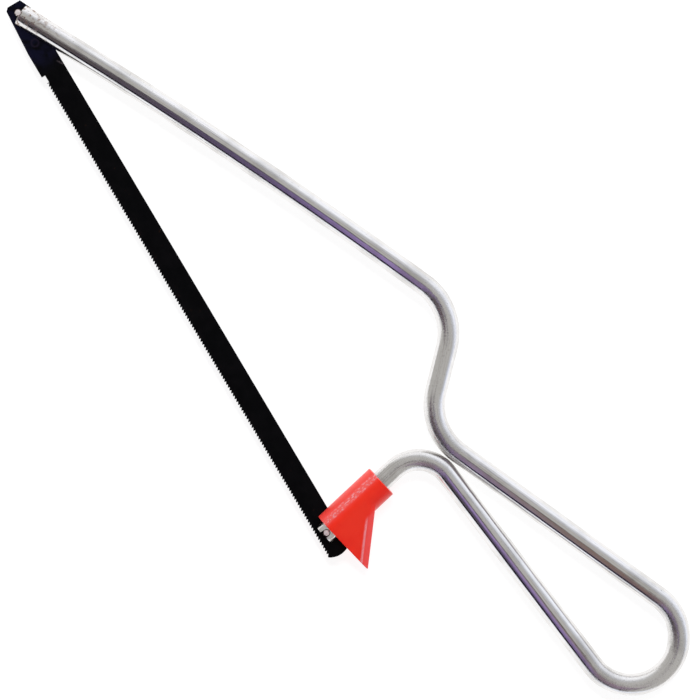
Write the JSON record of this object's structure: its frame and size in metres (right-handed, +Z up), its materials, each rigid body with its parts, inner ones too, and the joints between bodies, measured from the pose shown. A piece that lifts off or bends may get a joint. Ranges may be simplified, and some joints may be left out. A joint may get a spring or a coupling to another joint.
{
  "type": "bow saw",
  "caption": "Junior bow saw: a bent plated steel rod forms the frame and handle loop, with a fine-toothed pin-end blade and a finned red plastic sleeve.",
  "frame": {"origin": "under the middle of the saw's box, on the surface it lies on", "axes": "+X along the blade from its tip towards the handle, +Y from the teeth towards the bow, +Z up out of the saw's plane"},
  "size_m": [0.2284, 0.0698, 0.0087],
  "materials": {
    "plated_steel": "bright nickel plating with fine draw lines",
    "black_oxide": "satin black oxide",
    "bright_steel": "bright cut steel",
    "red_plastic": "glossy moulded orange-red plastic"
  },
  "bodies": {
    "frame": {"frame_rod": "plated_steel"},
    "blade": {"blade": "black_oxide", "tip_pin": "bright_steel", "heel_pin": "bright_steel"},
    "sleeve": {"sleeve": "red_plastic"}
  },
  "joints": [
    {"name": "blade_swing", "type": "hinge", "parent": "frame", "child": "blade", "pos_m": [-0.11147, -0.03164, 0.00435], "axis": [0, 0, -1], "range_deg": [0, 60]},
    {"name": "sleeve_slide", "type": "slide", "parent": "frame", "child": "sleeve", "axis": [-0.2139, 0.9769, 0], "range_m": [0, 0.004]}
  ]
}
